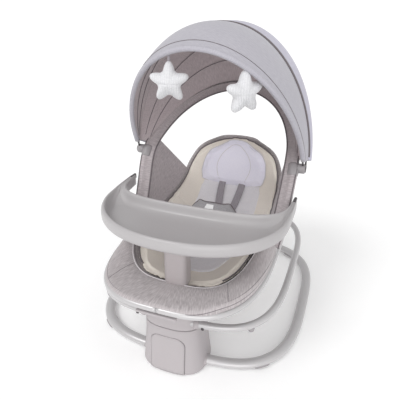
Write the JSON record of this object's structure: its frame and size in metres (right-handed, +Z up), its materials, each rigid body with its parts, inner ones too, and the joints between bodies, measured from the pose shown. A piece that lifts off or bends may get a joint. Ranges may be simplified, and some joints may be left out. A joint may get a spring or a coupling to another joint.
{
  "type": "baby swing",
  "caption": "Baby swing: padded recliner seat on a tubular carrier turning on a motor tower, with floor loop, folding canopy, hanging toys, harness and lift-off tray.",
  "frame": {"origin": "centre of the whole object's footprint box, on the floor", "axes": "+X to the side, +Y from the tray end towards the head end, +Z up"},
  "size_m": [0.5818, 0.7154, 0.7885],
  "materials": {
    "shell_plastic": "satin",
    "tray_plastic": "satin",
    "tube": "satin silver-grey",
    "steel": "brushed",
    "rubber": "matt",
    "dark_plastic": "matt",
    "clip_plastic": "satin",
    "copper": "plain",
    "board": "satin",
    "linen": "heather linen weave",
    "wing_cloth": "dark heather weave",
    "pad_cloth": "soft knit",
    "pillow_cloth": "soft knit",
    "canopy_cloth": "fine weave",
    "plush": "plush"
  },
  "bodies": {
    "base": {"tower_shell": "shell_plastic", "front_cover": "shell_plastic", "base_plate": "shell_plastic", "base_screw_1": "steel", "base_screw_2": "steel", "base_screw_3": "steel", "base_screw_4": "steel", "floor_tube_left": "tube", "floor_tube_right": "tube", "floor_joiner": "steel", "front_foot_left": "rubber", "front_foot_right": "rubber", "rear_foot_left": "rubber", "rear_foot_right": "rubber", "bearing_housing": "dark_plastic", "lower_bush": "copper", "upper_bush": "copper", "drive_coil": "copper", "control_board": "board", "speaker": "dark_plastic", "dc_inlet": "dark_plastic"},
    "swing": {"hub_shell": "shell_plastic", "spindle": "steel", "drive_arm": "steel", "drive_magnet": "dark_plastic", "carrier_tube_left": "tube", "carrier_tube_right": "tube", "carrier_joiner": "steel", "carrier_bumper_left": "rubber", "carrier_bumper_right": "rubber", "seat_ring_left": "tube", "seat_ring_right": "tube", "ring_joiner": "steel", "rear_strut_left": "tube", "rear_strut_right": "tube", "ring_saddle": "steel", "arch_tube": "tube", "arch_cover": "linen", "canopy_clip_left": "clip_plastic", "canopy_clip_right": "clip_plastic", "rim_cover": "linen", "seat_pan": "linen", "seat_pad": "pad_cloth", "side_wing_left": "wing_cloth", "side_wing_right": "wing_cloth", "crotch_pad": "wing_cloth", "harness_buckle": "dark_plastic"},
    "backrest": {"back_panel": "linen", "back_pad": "pad_cloth", "head_pillow": "pillow_cloth"},
    "canopy_middle": {"canopy_bow_middle": "dark_plastic", "canopy_rear_panel": "canopy_cloth"},
    "canopy_front": {"canopy_bow_front": "dark_plastic", "canopy_visor": "canopy_cloth"},
    "star_left": {"star_left": "plush"},
    "star_right": {"star_right": "plush"},
    "tray": {"tray": "tray_plastic", "tray_post": "tray_plastic"},
    "tray_release": {"tray_release_button": "clip_plastic"},
    "buckle_release": {"buckle_button": "clip_plastic"}
  },
  "joints": [
    {"name": "seat_swing", "type": "hinge", "parent": "base", "child": "swing", "pos_m": [0, -0.24, 0.128], "axis": [0, 0.1045, 0.9945], "range_deg": [-10, 10]},
    {"name": "backrest_recline", "type": "hinge", "parent": "swing", "child": "backrest", "pos_m": [0, 0.098, 0.176], "axis": [1, 0, 0], "range_deg": [-12, 0], "deforming": ["side_wing_left", "side_wing_right"]},
    {"name": "canopy_middle_fold", "type": "hinge", "parent": "swing", "child": "canopy_middle", "pos_m": [0, 0.053, 0.438], "axis": [-1, 0, 0], "range_deg": [0, 36], "deforming": ["canopy_rear_panel"]},
    {"name": "canopy_front_fold", "type": "hinge", "parent": "canopy_middle", "child": "canopy_front", "pos_m": [0, 0.053, 0.438], "axis": [-1, 0, 0], "range_deg": [0, 26], "deforming": ["canopy_visor"]},
    {"name": "star_left_hang", "type": "hinge", "parent": "canopy_front", "child": "star_left", "pos_m": [-0.062, -0.11079, 0.73349], "axis": [1, 0, 0], "range_deg": [-34, 34]},
    {"name": "star_right_hang", "type": "hinge", "parent": "canopy_front", "child": "star_right", "pos_m": [0.109, -0.09771, 0.70989], "axis": [1, 0, 0], "range_deg": [-34, 34]},
    {"name": "tray_lift", "type": "slide", "parent": "swing", "child": "tray", "axis": [0, 0, 1], "range_m": [0, 0.06]},
    {"name": "tray_release_press", "type": "slide", "parent": "tray", "child": "tray_release", "axis": [0, -1, 0], "range_m": [0, 0.003], "stiffness_N_per_m": 600, "springref_m": -0.001},
    {"name": "buckle_press", "type": "slide", "parent": "swing", "child": "buckle_release", "axis": [0, -0.9397, 0.342], "range_m": [0, 0.002], "stiffness_N_per_m": 600, "springref_m": -0.001}
  ]
}
